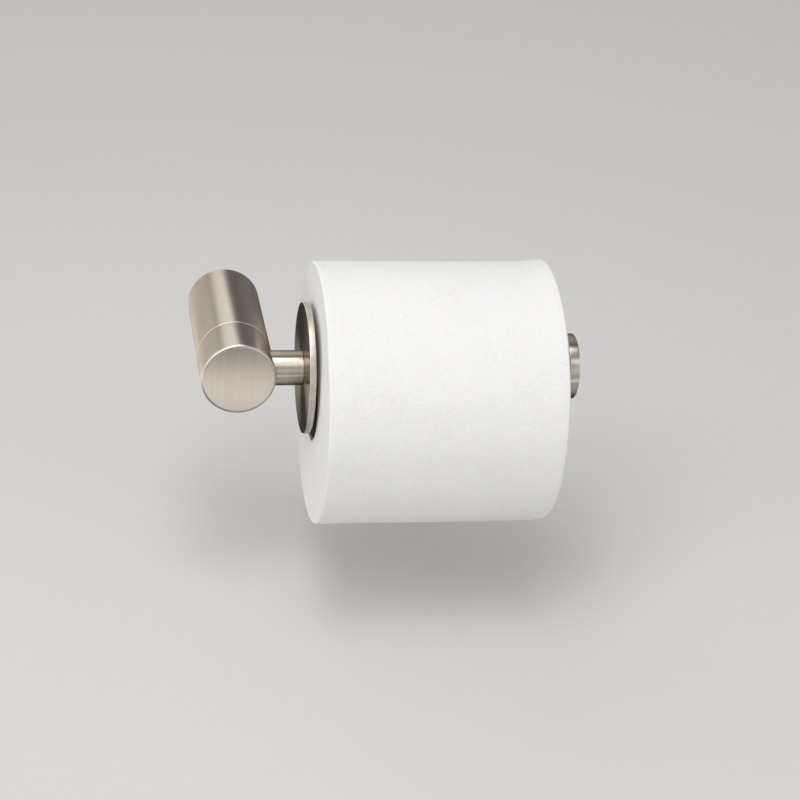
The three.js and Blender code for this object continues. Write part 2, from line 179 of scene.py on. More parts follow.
def rounded(corners, closed):
    """An outline of (radius, height) points from corners (radius, height, fillet), with fillets as arcs."""
    points = []
    count = len(corners)
    for i, (r, h, fillet) in enumerate(corners):
        here = Vector((r, h))
        inner = closed or 0 < i < count - 1
        if not fillet or not inner:
            points.append(here)
            continue
        back = (Vector(corners[i - 1][:2]) - here).normalized()
        ahead = (Vector(corners[(i + 1) % count][:2]) - here).normalized()
        half = back.angle(ahead) / 2
        centre = here + (back + ahead).normalized() * fillet / math.sin(half)
        first = here + back * fillet / math.tan(half) - centre
        last = here + ahead * fillet / math.tan(half) - centre
        sweep = first.angle_signed(last)
        for step in range(FILLET_STEPS + 1):
            angle = -sweep * step / FILLET_STEPS
            points.append(centre + Matrix.Rotation(angle, 2) @ first)
    return points


def neighbours(items, closed):
    """Each item with the next one, and the last with the first if the row is closed."""
    return list(zip(items, items[1:] + items[:1] if closed else items[1:]))


def split_long(points, longest, closed, longest_level=None):
    """Adds points to an outline so that no stretch is too long. A level one can have its own limit."""
    fine = []
    for a, b in neighbours(points, closed):
        level = longest_level and abs(a.y - b.y) < LEVEL
        steps = max(1, math.ceil((b - a).length / (longest_level if level else longest)))
        fine += [a.lerp(b, step / steps) for step in range(steps)]
    return fine if closed else fine + [points[-1]]


def to_object(name, mesh):
    """Makes an object of a closed mesh, with its faces turned outwards."""
    bmesh.ops.recalc_face_normals(mesh, faces=mesh.faces)
    if mesh.calc_volume(signed=True) < 0:
        bmesh.ops.reverse_faces(mesh, faces=mesh.faces)
    data = bpy.data.meshes.new(name)
    mesh.to_mesh(data)
    mesh.free()
    piece = bpy.data.objects.new(name, data)
    bpy.context.scene.collection.objects.link(piece)
    return piece


def revolve(name, points, sides, closed):
    """A mesh revolved about local Z. An open outline starts and ends on the axis."""
    mesh = bmesh.new()
    rings = []
    for r, h in points:
        if r < ON_AXIS:
            rings.append([mesh.verts.new((0, 0, h))])
            continue
        rings.append([
            mesh.verts.new((r * math.cos(a), r * math.sin(a), h))
            for a in (2 * math.pi * k / sides for k in range(sides))
        ])
    for lower, upper in neighbours(rings, closed):
        for k in range(sides):
            j = (k + 1) % sides
            if len(lower) == 1:
                mesh.faces.new((lower[0], upper[j], upper[k]))
            elif len(upper) == 1:
                mesh.faces.new((lower[k], lower[j], upper[0]))
            else:
                mesh.faces.new((lower[k], lower[j], upper[j], upper[k]))
    return to_object(name, mesh)


def turned(name, corners, sides=ROUND_SIDES, closed=False, longest=None):
    """A turned piece from corners (radius, height, fillet). One with a bore has a closed outline."""
    points = rounded(corners, closed)
    if longest:
        points = split_long(points, longest, closed)
    return revolve(name, points, sides, closed)


def tube(name, inner, outer, start, end, fillet, sides=ROUND_SIDES, longest=None):
    corners = [(inner, start, fillet), (outer, start, fillet), (outer, end, fillet), (inner, end, fillet)]
    return turned(name, corners, sides, closed=True, longest=longest)


def rod(name, radius, start, end, fillet, sides=SMALL_SIDES, longest=None):
    corners = [(0, start, 0), (radius, start, fillet), (radius, end, fillet), (0, end, 0)]
    return turned(name, corners, sides, longest=longest)


def drill(start, end, radius, sides=BORE_SIDES):
    """A cutter between two points in a piece's own frame."""
    start, end = Vector(start), Vector(end)
    run = end - start
    outline = [Vector(p) for p in ((0, 0), (radius, 0), (radius, run.length), (0, run.length))]
    cutter = revolve("cutter", outline, sides, closed=False)
    cutter.data.transform(Matrix.Translation(start) @ run.to_track_quat("Z", "Y").to_matrix().to_4x4())
    return cutter


def prism(outline, start, end):
    """A cutter with this outline of (x, y) points, between two heights."""
    mesh = bmesh.new()
    lower = [mesh.verts.new((x, y, start)) for x, y in outline]
    upper = [mesh.verts.new((x, y, end)) for x, y in outline]
    mesh.faces.new(lower[::-1])
    mesh.faces.new(upper)
    for k in range(len(outline)):
        j = (k + 1) % len(outline)
        mesh.faces.new((lower[k], lower[j], upper[j], upper[k]))
    bmesh.ops.triangulate(mesh, faces=mesh.faces)
    return to_object("cutter", mesh)


def cut(piece, cutters):
    """Takes the cutters out of a piece for good. The work is done in millimetres, which is more exact."""
    for thing in (piece, *cutters):
        thing.data.transform(Matrix.Scale(1 / MM, 4))
    for cutter in cutters:
        step = piece.modifiers.new("cut", "BOOLEAN")
        step.operation = "DIFFERENCE"
        step.solver = "EXACT"
        step.object = cutter
    bpy.context.view_layer.update()
    graph = bpy.context.evaluated_depsgraph_get()
    result = bpy.data.meshes.new_from_object(piece.evaluated_get(graph))
    piece.modifiers.clear()
    piece.data = result
    mesh = bmesh.new()
    mesh.from_mesh(result)
    bmesh.ops.remove_doubles(mesh, verts=mesh.verts, dist=WELD)
    bmesh.ops.dissolve_degenerate(mesh, edges=mesh.edges, dist=WELD)
    mesh.to_mesh(result)
    mesh.free()
    result.transform(Matrix.Scale(MM, 4))
    for cutter in cutters:
        bpy.data.objects.remove(cutter)


def thread(piece, start, end, pitch, depth, sharpness=1.0):
    """Cuts a thread into a fine stretch between two heights. More sharpness leaves a thinner ridge."""
    for vertex in piece.data.vertices:
        x, y, h = vertex.co
        radius = math.hypot(x, y)
        if not start < h < end or radius < depth / 2:
            continue
        turn = (h / pitch - math.atan2(y, x) / (2 * math.pi)) % 1
        valley = min(1, sharpness * abs(2 * turn - 1))
        fade = min(1, (h - start) / pitch, (end - h) / pitch)
        factor = 1 - min(depth / radius, DEEPEST_THREAD) * valley * fade
        vertex.co = (x * factor, y * factor, h)


def place(piece, node, where, materials):
    """Puts a finished piece in the frame, in the place of its CAD node."""
    piece.data.shade_smooth()
    piece.data.set_sharp_from_angle(angle=SHARP_ANGLE)
    piece.matrix_world = where
    piece.data.materials.clear()
    for material in materials:
        piece.data.materials.append(material)
    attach(piece, BODY_OF[node])


def polish_edges(piece, index):
    """Gives the slanted faces along a turned piece's edges the material with this index."""
    for face in piece.data.polygons:
        if SIDE_SLANT < abs(face.normal.z) < FLAT_SLANT:
            face.material_index = index


def finish_rim(piece, index):
    """Gives the side of a turned piece the material with this index."""
    for face in piece.data.polygons:
        if abs(face.normal.z) < SIDE_SLANT:
            face.material_index = index


def stand_in(piece, node, where, *materials):
    """Places a piece that replaces its CAD node."""
    place(piece, node, where, materials)
    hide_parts(node)


# ---- Material code ----

def blank(name):
    """A new material, its node tree and its shader."""
    material = bpy.data.materials.new(name)
    material.use_nodes = True
    return material, material.node_tree, material.node_tree.nodes["Principled BSDF"]


def add(tree, kind, inputs=None, **settings):
    """A new node with these settings. An input is given a value, or linked if it is a socket."""
    node = tree.nodes.new(kind)
    for key, value in settings.items():
        setattr(node, key, value)
    for key, value in (inputs or {}).items():
        if isinstance(value, bpy.types.NodeSocket):
            tree.links.new(value, node.inputs[key])
        else:
            node.inputs[key].default_value = value
    return node


def math_node(tree, operation, *values):
    return add(tree, "ShaderNodeMath", dict(enumerate(values)), operation=operation).outputs[0]


def own_place(tree):
    """A point of the piece in its own frame."""
    return add(tree, "ShaderNodeTexCoord").outputs["Object"]


def around_axis(tree):
    """A point as (x, y, height + distance from the axis), whose last part is the same all the way round.

    The distance from the axis is given too.
    """
    split = add(tree, "ShaderNodeSeparateXYZ", {"Vector": own_place(tree)})
    x, y, h = (split.outputs[axis] for axis in "XYZ")
    flat = add(tree, "ShaderNodeCombineXYZ", {"X": x, "Y": y})
    reach = add(tree, "ShaderNodeVectorMath", {0: flat.outputs[0]}, operation="LENGTH").outputs["Value"]
    along = math_node(tree, "ADD", h, reach)
    return add(tree, "ShaderNodeCombineXYZ", {"X": x, "Y": y, "Z": along}).outputs[0], reach


def grain(tree, where, scale, detail=3.0, roughness=0.55):
    """Noise with a scale of its own along each axis."""
    mapped = add(tree, "ShaderNodeMapping", {"Vector": where, "Scale": scale})
    return add(tree, "ShaderNodeTexNoise", {
        "Vector": mapped.outputs["Vector"], "Scale": 1.0, "Detail": detail, "Roughness": roughness,
    }).outputs["Fac"]


def even_grain(tree, per_metre, detail=3.0):
    """Noise in the piece's own frame, alike in all directions."""
    return grain(tree, own_place(tree), (per_metre, per_metre, per_metre), detail)


def ramp(tree, value, low, high, start=0.3, end=0.7):
    """Maps a value onto a range of numbers."""
    return add(tree, "ShaderNodeMapRange", {
        "Value": value, "From Min": start, "From Max": end, "To Min": low, "To Max": high,
    }).outputs["Result"]


def mix_color(tree, factor, dark, light):
    """A colour between two, each a plain colour or a socket."""
    node = add(tree, "ShaderNodeMix", {"Factor": factor}, data_type="RGBA")
    for socket, value in ((node.inputs[6], dark), (node.inputs[7], light)):
        if isinstance(value, bpy.types.NodeSocket):
            tree.links.new(value, socket)
        else:
            socket.default_value = (*value, 1)
    return node.outputs[2]


def bump(tree, height, distance, under=None):
    """A bumped normal, on top of another one if it is given."""
    inputs = {"Height": height, "Distance": distance}
    if under is not None:
        inputs["Normal"] = under
    return add(tree, "ShaderNodeBump", inputs).outputs["Normal"]


# ---- Metals ----

NICKEL_DARK = (0.575, 0.525, 0.46)
NICKEL_LIGHT = (0.675, 0.625, 0.555)
GRAZING_SHADE_TINT = (0.48, 0.44, 0.39, 1)  # its tint at a glancing angle, darker than the metal's own: painted shade on the outermost edges
ALONG_LINES = 40  # how often a brush line changes along its length, per metre
BROAD_LINES = 0.12  # the broad lines' frequency, in that of the fine ones
FINE_SHARE = 0.7  # of the fine lines in the pattern; the broad ones are the rest
ANISOTROPY = 0.95
LINE_DEPTH = 0.0014 * MM


def brushed_metal(name, turned_lines, per_metre, softness, roughness):
    """Satin nickel with fine brush lines, round the axis or straight up the front face."""
    material, tree, shader = blank(name)
    if turned_lines:
        where = around_axis(tree)[0]
        scale = (ALONG_LINES, ALONG_LINES, per_metre)
    else:
        where = own_place(tree)
        scale = (per_metre, ALONG_LINES, ALONG_LINES)
    fine = grain(tree, where, scale, detail=5.0, roughness=0.8)
    broad = grain(tree, where, [s * BROAD_LINES for s in scale], detail=2.0)
    rest = math_node(tree, "MULTIPLY", broad, 1 - FINE_SHARE)
    both = math_node(tree, "MULTIPLY_ADD", fine, FINE_SHARE, rest)
    lines = ramp(tree, both, 0, 1, 0.5 - softness, 0.5 + softness)
    color = mix_color(tree, lines, NICKEL_DARK, NICKEL_LIGHT)
    tree.links.new(color, shader.inputs["Base Color"])
    # the darker glancing tint is painted shade on the outermost edges
    shader.inputs["Specular Tint"].default_value = GRAZING_SHADE_TINT
    tree.links.new(ramp(tree, lines, *roughness, 0, 1), shader.inputs["Roughness"])
    tree.links.new(bump(tree, lines, LINE_DEPTH), shader.inputs["Normal"])
    shader.inputs["Metallic"].default_value = 1.0
    shader.inputs["Anisotropic"].default_value = ANISOTROPY
    shader.inputs["Anisotropic Rotation"].default_value = 0.25 if turned_lines else 0.0
    tangent = add(tree, "ShaderNodeTangent", direction_type="RADIAL", axis="Z" if turned_lines else "Y")
    tree.links.new(tangent.outputs["Tangent"], shader.inputs["Tangent"])
    return material


def plain_metal(name, dark, light, clouds, grains, roughness, depth):
    """Metal without brush lines: clouded colour and a fine grit, both in so many per metre."""
    material, tree, shader = blank(name)
    cloud = even_grain(tree, clouds)
    grit = even_grain(tree, grains)
    tree.links.new(mix_color(tree, ramp(tree, cloud, 0, 1), dark, light), shader.inputs["Base Color"])
    tree.links.new(ramp(tree, grit, *roughness), shader.inputs["Roughness"])
    tree.links.new(bump(tree, grit, depth), shader.inputs["Normal"])
    shader.inputs["Metallic"].default_value = 1.0
    return material


turned_nickel = brushed_metal(
    "turned_nickel", turned_lines=True, per_metre=2300, softness=0.2, roughness=(0.27, 0.31))
turned_face = brushed_metal(
    "turned_face", turned_lines=True, per_metre=2600, softness=0.2, roughness=(0.16, 0.21))
faced_nickel = brushed_metal(
    "faced_nickel", turned_lines=False, per_metre=1700, softness=0.22, roughness=(0.22, 0.27))
satin_nickel = plain_metal(
    "satin_nickel", dark=(0.58, 0.53, 0.465), light=(0.7, 0.65, 0.58),
    clouds=300, grains=3600, roughness=(0.42, 0.5), depth=0.004 * MM)
edge_nickel = plain_metal(
    "edge_nickel", dark=(0.62, 0.57, 0.5), light=(0.72, 0.67, 0.6),
    clouds=300, grains=3000, roughness=(0.26, 0.36), depth=0.002 * MM)
plated_steel = plain_metal(
    "zinc_plated_steel", dark=(0.46, 0.49, 0.53), light=(0.6, 0.58, 0.5),
    clouds=260, grains=4200, roughness=(0.25, 0.42), depth=0.006 * MM)
cast_zinc = plain_metal(
    "cast_zinc", dark=(0.36, 0.37, 0.38), light=(0.5, 0.51, 0.52),
    clouds=180, grains=2600, roughness=(0.45, 0.62), depth=0.03 * MM)
spring_steel = plain_metal(
    "spring_steel", dark=(0.3, 0.3, 0.31), light=(0.43, 0.42, 0.4),
    clouds=420, grains=5200, roughness=(0.24, 0.4), depth=0.004 * MM)


# ---- Nylon, board and tissue ----

def moulded_nylon():
    """Off-white nylon, faintly clouded."""
    material, tree, shader = blank("white_nylon")
    cloud = even_grain(tree, per_metre=300)
    fine = even_grain(tree, per_metre=3800)
    color = mix_color(tree, ramp(tree, cloud, 0, 1), (0.8, 0.78, 0.71), (0.88, 0.86, 0.8))
    tree.links.new(color, shader.inputs["Base Color"])
    tree.links.new(ramp(tree, fine, 0.38, 0.55), shader.inputs["Roughness"])
    tree.links.new(bump(tree, fine, 0.01 * MM), shader.inputs["Normal"])
    shader.inputs["Subsurface Weight"].default_value = 0.15
    shader.inputs["Subsurface Scale"].default_value = 1 * MM
    return material


SEAM_PITCH = 62 * MM  # the board's spiral seam goes once round in this length
SEAM_WIDTH = 0.012  # as a part of a turn


def cardboard():
    """Grey-brown board with short fibres and the seam of its spiral winding, coloured darker than plain
    board as painted shade inside the core.
    """
    material, tree, shader = blank("grey_board")
    split = add(tree, "ShaderNodeSeparateXYZ", {"Vector": own_place(tree)})
    angle = math_node(tree, "ARCTAN2", split.outputs["Y"], split.outputs["X"])
    winding = math_node(tree, "MULTIPLY_ADD", split.outputs["Z"], 1 / SEAM_PITCH,
                        math_node(tree, "DIVIDE", angle, 2 * math.pi))
    from_seam = math_node(tree, "PINGPONG", winding, 0.5)
    seam = ramp(tree, from_seam, 0, 1, 0, SEAM_WIDTH)
    fibre = grain(tree, own_place(tree), (1500, 1500, 420))
    fleck = even_grain(tree, per_metre=5200)
    # the board's colours are set darker than its own, as painted shade for the dark inside of the core
    board = mix_color(tree, ramp(tree, fibre, 0, 1), (0.15, 0.12, 0.09), (0.25, 0.205, 0.155))
    tree.links.new(mix_color(tree, seam, (0.08, 0.06, 0.045), board), shader.inputs["Base Color"])
    tree.links.new(ramp(tree, fleck, 0.8, 0.95), shader.inputs["Roughness"])
    seamed = bump(tree, seam, 0.15 * MM, under=bump(tree, fibre, 0.05 * MM))
    tree.links.new(bump(tree, fleck, 0.04 * MM, under=seamed), shader.inputs["Normal"])
    return material


PAPER_LOW = (0.84, 0.838, 0.828)
PAPER_HIGH = (0.895, 0.893, 0.886)
PEBBLES = 1050  # of the embossing, per metre
PEBBLE_DEPTH = 0.5 * MM
PIT_SHADE_SHARE = 0.75  # of the pebbles in the colour, as painted shade that darkens the pits; clouds are the rest
FIBRES = 3600  # per metre
LAYERS = 2600  # sheets of the winding, per metre of its thickness


def tissue(name):
    """The start of both tissue materials, which let a little light in."""
    material, tree, shader = blank(name)
    shader.inputs["Subsurface Weight"].default_value = 0.1
    shader.inputs["Subsurface Scale"].default_value = 1.2 * MM
    shader.inputs["Specular IOR Level"].default_value = 0.15
    return material, tree, shader


def tissue_side():
    """Soft white tissue with a fine, uneven pebbled embossing, whose pits are darkened in colour as painted
    shade.
    """
    material, tree, shader = tissue("tissue_side")
    pebble = even_grain(tree, PEBBLES, detail=2.0)
    patch = even_grain(tree, per_metre=60, detail=1.0)
    fibre = grain(tree, own_place(tree), (FIBRES, FIBRES, FIBRES * 0.5))
    # the colour mixes painted shade in the pebbles' pits with soft clouds of the tissue's own tone
    cloud = math_node(tree, "MULTIPLY", even_grain(tree, per_metre=40), 1 - PIT_SHADE_SHARE)
    shade = math_node(tree, "MULTIPLY_ADD", pebble, PIT_SHADE_SHARE, cloud)
    color = mix_color(tree, ramp(tree, shade, 0, 1), PAPER_LOW, PAPER_HIGH)
    tree.links.new(color, shader.inputs["Base Color"])
    tree.links.new(ramp(tree, fibre, 0.86, 0.98), shader.inputs["Roughness"])
    uneven = math_node(tree, "MULTIPLY", pebble, ramp(tree, patch, 0.6, 1.0))
    embossed = bump(tree, uneven, PEBBLE_DEPTH)
    tree.links.new(bump(tree, fibre, 0.02 * MM, under=embossed), shader.inputs["Normal"])
    return material


def tissue_end():
    """The cut ends of the winding: many thin layers, a little uneven."""
    material, tree, shader = tissue("tissue_end")
    reach = around_axis(tree)[1]
    wobble = ramp(tree, even_grain(tree, per_metre=38), -0.8 * MM, 0.8 * MM)
    layers = add(tree, "ShaderNodeTexNoise", {
        "W": math_node(tree, "ADD", reach, wobble), "Scale": LAYERS, "Detail": 3.0, "Roughness": 0.75,
    }, noise_dimensions="1D").outputs["Fac"]
    fuzz = even_grain(tree, FIBRES)
    color = mix_color(tree, ramp(tree, layers, 0.3, 1), PAPER_LOW, PAPER_HIGH)
    tree.links.new(color, shader.inputs["Base Color"])
    tree.links.new(ramp(tree, fuzz, 0.88, 0.98), shader.inputs["Roughness"])
    lined = bump(tree, layers, 0.04 * MM)
    tree.links.new(bump(tree, fuzz, 0.04 * MM, under=lined), shader.inputs["Normal"])
    return material


white_nylon = moulded_nylon()
grey_board = cardboard()
paper_side = tissue_side()
paper_end = tissue_end()


# ---- Inside and behind the sleeve ----

def build_bracket():
    """The cast cup that is screwed to the wall, with the set screw's groove round its rim."""
    start, end = out_of_wall("wall_bracket")
    outer = radius_of("wall_bracket")
    groove = -middle_of("sleeve_set_screw").y
    piece = turned("wall_bracket_fine", [
        (0, start, 0),
        (outer, start, 0.3 * MM),
        (outer, groove - GROOVE_HALF_WIDTH, 0.15 * MM),
        (outer - GROOVE_DEPTH, groove, 0.2 * MM),
        (outer, groove + GROOVE_HALF_WIDTH, 0.15 * MM),
        (outer, end, 0.5 * MM),
        (CUP_BORE, end, 0.4 * MM),
        (CUP_BORE, CUP_PLATE, 0.9 * MM),
        (0, CUP_PLATE, 0),
    ])
    cut(piece, [
        drill((middle_of(screw).x, 0, -CUP_PLATE), (middle_of(screw).x, 0, 2 * CUP_PLATE), MOUNTING_HOLE)
        for screw in ("mounting_screw_left", "mounting_screw_right")
    ])
    stand_in(piece, "wall_bracket", ON_POST, cast_zinc)


def cross_recess(top):
    """Two crossed bars, the cutters of a screw head's recess."""
    half_long, half_wide = RECESS_LENGTH / 2, RECESS_WIDTH / 2
    bars = []
    for x, y in ((half_long, half_wide), (half_wide, half_long)):
        bars.append(prism([(-x, -y), (x, -y), (x, y), (-x, y)], top - RECESS_DEPTH, top + RECESS_DEPTH))
    return bars


def build_mounting_screw(node):
    """A pan-head wood screw."""
    tip, top = out_of_wall(node)
    seat = top - SCREW_HEAD_HEIGHT
    head = radius_of(node)
    piece = turned(node + "_fine", [
        (0, tip, 0),
        (SCREW_SHANK, tip + SCREW_POINT, 1 * MM),
        (SCREW_SHANK, seat, 0),
        (head, seat, 0.15 * MM),
        (head, top - 0.3 * MM, 0.8 * MM),
        (0.5 * head, top, 2 * MM),
        (0, top, 0),
    ], THREAD_SIDES, longest=SCREW_PITCH / STEPS_PER_PITCH)
    thread(piece, tip + 0.3 * MM, seat - SCREW_NECK, SCREW_PITCH, SCREW_THREAD_DEPTH, SCREW_SHARPNESS)
    cut(piece, cross_recess(top))
    stand_in(piece, node, Matrix.Translation((middle_of(node).x, 0, 0)) @ ON_POST, plated_steel)


def build_grub_screw(node, where, radius, length, tip, pitch, hexagon):
    """A set screw from its cone point, at height 0, to its hexagon socket.

    The tip is (radius, length), and the hexagon (radius, depth).
    """
    tip_radius, tip_length = tip
    piece = turned(node + "_fine", [
        (0, 0, 0),
        (tip_radius, 0, 0.1 * MM),
        (radius, tip_length, 0.1 * MM),
        (radius, length, 0.25 * MM),
        (0, length, 0),
    ], THREAD_SIDES, longest=pitch / STEPS_PER_PITCH)
    thread(piece, tip_length, length, pitch, GRUB_DEPTH * pitch)
    corner, depth = hexagon
    cut(piece, [drill((0, 0, length - depth), (0, 0, 2 * length), corner, HEX_SIDES)])
    stand_in(piece, node, where, plated_steel)


def build_set_screws():
    """The sleeve's grub screw, pointing up, and the arm's, pointing out of the wall."""
    low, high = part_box("sleeve_set_screw")
    middle = middle_of("sleeve_set_screw")
    build_grub_screw(
        "sleeve_set_screw",
        Matrix.Translation((middle.x, middle.y, high.z)) @ Matrix.Rotation(math.pi, 4, "X"),
        radius=2 * MM, length=high.z - low.z, tip=(0.3 * MM, 1.1 * MM), pitch=0.7 * MM,
        hexagon=(1.1 * MM, 1.8 * MM))
    low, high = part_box("arm_lock_screw")
    middle = middle_of("arm_lock_screw")
    build_grub_screw(
        "arm_lock_screw",
        Matrix.Translation((middle.x, low.y, middle.z)) @ Matrix.Rotation(-math.pi / 2, 4, "X"),
        radius=2.5 * MM, length=high.y - low.y, tip=(1.5 * MM, 1.2 * MM), pitch=0.8 * MM,
        hexagon=(1.4 * MM, 2.5 * MM))


def build_pivot():
    """Bush, washers and shoulder bolt on the post's axis."""
    start, end = out_of_wall("pivot_bushing")
    bush = turned("pivot_bushing_fine", [
        (PIVOT_BORE, start, 0.15 * MM),
        (radius_of("pivot_bushing"), start, 0.2 * MM),
        (radius_of("pivot_bushing"), start + FLANGE_THICKNESS, 0.2 * MM),
        (BUSHING_RADIUS, start + FLANGE_THICKNESS, 0.1 * MM),
        (BUSHING_RADIUS, end, 0.3 * MM),
        (PIVOT_BORE, end, 0.15 * MM),
    ], BORE_SIDES, closed=True)
    stand_in(bush, "pivot_bushing", ON_POST, white_nylon)
    washers = (("thrust_washer", 0.12 * MM, white_nylon), ("flat_washer", 0.2 * MM, plated_steel))
    for node, fillet, material in washers:
        washer = tube(node + "_fine", PIVOT_BORE, radius_of(node), *out_of_wall(node), fillet, BORE_SIDES)
        stand_in(washer, node, ON_POST, material)
    start, end = out_of_wall("wave_washer")
    start = (start + end - WAVE_THICKNESS) / 2
    end = start + WAVE_THICKNESS
    radius = radius_of("wave_washer")
    wave = tube("wave_washer_fine", PIVOT_BORE, radius, start, end, 0.12 * MM, BORE_SIDES, 0.8 * MM)
    for vertex in wave.data.vertices:
        vertex.co.z += WAVE_HEIGHT * math.cos(WAVE_COUNT * math.atan2(vertex.co.y, vertex.co.x))
    stand_in(wave, "wave_washer", ON_POST, spring_steel)
    build_bolt()


def build_bolt():
    """The shoulder bolt that the head turns on, with its head towards the wall."""
    start, end = out_of_wall("pivot_bolt")
    head = radius_of("pivot_bolt")
    seat = start + BOLT_HEAD_HEIGHT
    shoulder = out_of_wall("post_sleeve")[1]
    piece = turned("pivot_bolt_fine", [
        (0, start, 0),
        (head, start, 0.5 * MM),
        (head, seat, 0.15 * MM),
        (SHOULDER_RADIUS, seat, 0.15 * MM),
        (SHOULDER_RADIUS, shoulder, 0.2 * MM),
        (THREAD_RADIUS, shoulder, 0),
        (THREAD_RADIUS, end, 0.4 * MM),
        (0, end, 0),
    ], THREAD_SIDES, longest=THREAD_PITCH / STEPS_PER_PITCH)
    thread(piece, shoulder + 0.6 * MM, end, THREAD_PITCH, THREAD_DEPTH)
    cut(piece, [drill((0, 0, start - BOLT_HEX_DEPTH), (0, 0, start + BOLT_HEX_DEPTH), BOLT_HEX, HEX_SIDES)])
    stand_in(piece, "pivot_bolt", ON_POST, plated_steel)


# ---- The visible metal ----

def arc(x, y, radius, first, last):
    """Points round a centre, between two angles in degrees."""
    angles = [math.radians(first + (last - first) * k / SLOT_STEPS) for k in range(SLOT_STEPS)]
    return [(x + radius * math.cos(angle), y + radius * math.sin(angle)) for angle in angles]


def stop_slot(start, end):
    """The cutter of the stop pin's arc-shaped slot, a quarter turn from opposite the arm to below."""
    orbit = -middle_of("stop_pin").x
    half = radius_of("stop_pin") + GAP
    outline = arc(0, 0, orbit + half, 180, 270) + arc(0, -orbit, half, 270, 450)
    outline += arc(0, 0, orbit - half, 270, 180) + arc(-orbit, 0, half, 0, 180)
    return prism(outline, start, end)


def build_sleeve():
    """The fixed rear tube of the post, with the recesses for bush and washer in its front wall."""
    start, end = out_of_wall("post_sleeve")
    outer = radius_of("post_sleeve")
    recess = radius_of("thrust_washer") + GAP
    bush = BUSHING_RADIUS + GAP
    piece = turned("post_sleeve_fine", [
        (SLEEVE_BORE, start, 0.2 * MM),
        (outer, start, 0.25 * MM),
        (outer, end, JOINT_FILLET),
        (recess, end, 0.1 * MM),
        (recess, end - THRUST_RECESS, 0),
        (bush, end - THRUST_RECESS, 0),
        (bush, end - FRONT_WALL, 0),
        (SLEEVE_BORE, end - FRONT_WALL, 0.5 * MM),
    ], closed=True)
    screw_out = -middle_of("sleeve_set_screw").y
    hole = drill((0, -0.7 * outer, screw_out), (0, -1.2 * outer, screw_out), SET_SCREW_HOLE)
    cut(piece, [hole, stop_slot(end - STOP_SLOT_DEPTH, end + STOP_SLOT_DEPTH)])
    stand_in(piece, "post_sleeve", ON_POST, turned_nickel, edge_nickel)
    polish_edges(piece, 1)


def crown(radius, top):
    """The very slightly domed front face, from near its edge to its middle."""
    fractions = [1 - k / CROWN_STEPS for k in range(1, CROWN_STEPS + 1)]
    return [(radius * f, top - CROWN * f ** 2, 0) for f in fractions]


def build_head():
    """The front part of the post, drilled for the arm, the bolt, the stop pin and the lock screw."""
    start, end = out_of_wall("pivot_head")
    outer = radius_of("pivot_head")
    piece = turned("pivot_head_fine", [
        (0, start, 0),
        (outer, start, JOINT_FILLET),
        (outer, end - CROWN, FRONT_FILLET),
        *crown(outer, end),
    ])
    spigot = along_arm("arm_stub")[0]
    seat = spigot + ARM_SEAT
    lock = middle_of("arm_lock_screw").x
    pin = middle_of("stop_pin").x
    behind = start - 2 * MM
    beside = 1.3 * outer
    cut(piece, [
        drill((seat, 0, ARM_OUT), (beside, 0, ARM_OUT), radius_of("arm_stub") + FIT, ROUND_SIDES),
        drill((spigot - GAP, 0, ARM_OUT), (beside, 0, ARM_OUT), SPIGOT_RADIUS + GAP),
        drill((0, 0, behind), (0, 0, out_of_wall("pivot_bolt")[1] + GAP), THREAD_RADIUS + GAP),
        drill((pin, 0, behind), (pin, 0, out_of_wall("stop_pin")[1] + GAP), radius_of("stop_pin") + GAP),
        drill((lock, 0, behind), (lock, 0, ARM_OUT), radius_of("arm_lock_screw") + GAP),
    ])
    stand_in(piece, "pivot_head", ON_POST, turned_nickel, edge_nickel, faced_nickel)
    polish_edges(piece, 1)
    for face in piece.data.polygons:
        if face.center.z > end - 1.3 * CROWN and face.normal.z > FLAT_SLANT:
            face.material_index = 2
    pin_rod = rod("stop_pin_fine", radius_of("stop_pin"), *out_of_wall("stop_pin"), 0.3 * MM)
    stand_in(pin_rod, "stop_pin", Matrix.Translation((pin, 0, 0)) @ ON_POST, plated_steel)


def build_stub():
    """The short length of arm between head and disc, with its spigot and the lock screw's groove."""
    start, end = along_arm("arm_stub")
    outer = radius_of("arm_stub")
    lock = middle_of("arm_lock_screw").x
    seat = start + SPIGOT_LENGTH
    piece = turned("arm_stub_fine", [
        (0, start, 0),
        (SPIGOT_RADIUS, start, 0.3 * MM),
        (SPIGOT_RADIUS, lock - LOCK_GROOVE_HALF_WIDTH, 0),
        (LOCK_GROOVE_RADIUS, lock - LOCK_GROOVE_HALF_WIDTH, 0),
        (LOCK_GROOVE_RADIUS, lock + LOCK_GROOVE_HALF_WIDTH, 0),
        (SPIGOT_RADIUS, lock + LOCK_GROOVE_HALF_WIDTH, 0),
        (SPIGOT_RADIUS, seat, 0),
        (outer, seat, 0.3 * MM),
        (outer, end + GAP - FIT, 0.12 * MM),
        (0, end + GAP - FIT, 0),
    ])
    cut(piece, [drill((0, 0, along_arm("disc_stud")[0] - GAP), (0, 0, 2 * end), STUD_BORE)])
    stand_in(piece, "arm_stub", ON_ARM, turned_nickel)


def build_knob():
    """The thin round knob at the arm's end."""
    start, end = along_arm("end_knob")
    piece = rod("end_knob_fine", radius_of("end_knob"), start, end, 0.35 * MM, ROUND_SIDES)
    cut(piece, [drill((0, 0, 0), (0, 0, along_arm("knob_stud")[1] + GAP), STUD_BORE)])
    stand_in(piece, "end_knob", ON_ARM, turned_face, edge_nickel, turned_nickel)
    polish_edges(piece, 1)
    finish_rim(piece, 2)


